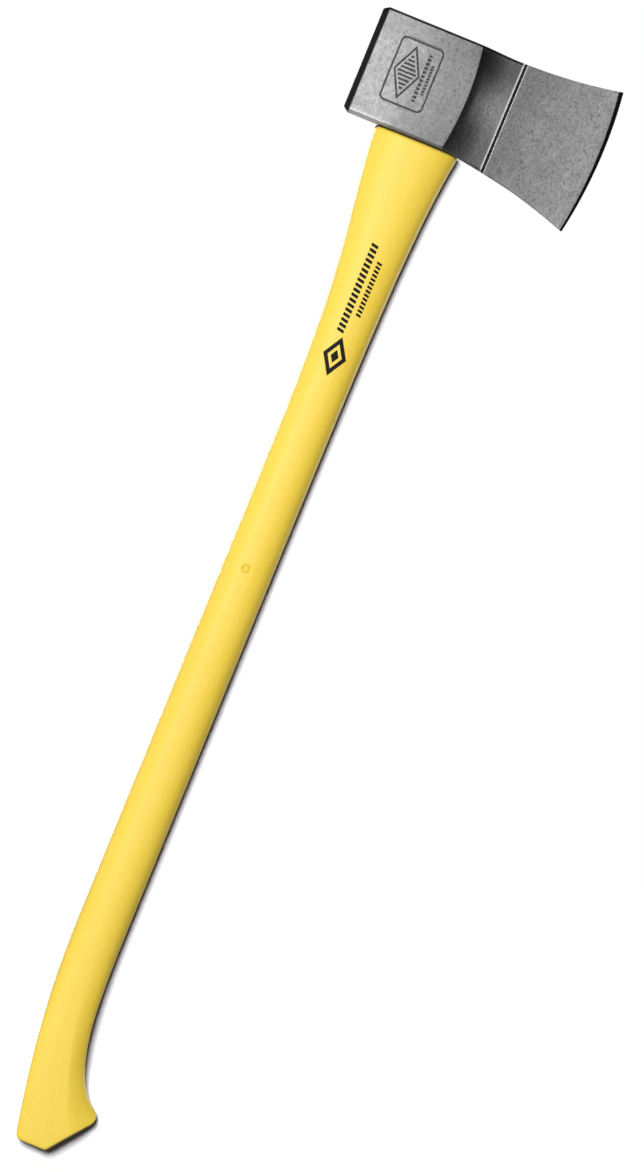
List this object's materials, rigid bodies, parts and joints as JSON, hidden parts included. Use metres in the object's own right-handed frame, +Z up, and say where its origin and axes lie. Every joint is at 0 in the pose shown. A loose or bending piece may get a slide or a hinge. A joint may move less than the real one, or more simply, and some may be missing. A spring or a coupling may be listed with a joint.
{
  "type": "fire axe",
  "caption": "Flat-head fire axe with a forged steel head and a yellow jacketed fibreglass handle that ends in a bent foot.",
  "frame": {"origin": "on the handle's axis, at the underside of the head", "axes": "+Z up along the handle, out through the top of the head; +X towards the cutting edge; Y across the cheeks"},
  "size_m": [0.1982, 0.0438, 0.9219],
  "materials": {
    "forged_steel": "blasted grey, satin",
    "yellow_jacket": "satin moulded plastic",
    "fibreglass": "sawn rod end",
    "epoxy": "cast, dark amber",
    "black_rubber": "matt"
  },
  "bodies": {
    "root": {"axe_head": "forged_steel", "handle_jacket": "yellow_jacket", "handle_core": "fibreglass", "eye_epoxy": "epoxy", "shoulder_seal": "black_rubber", "core_pin_plug_front": "yellow_jacket", "core_pin_plug_back": "yellow_jacket"}
  },
  "joints": []
}
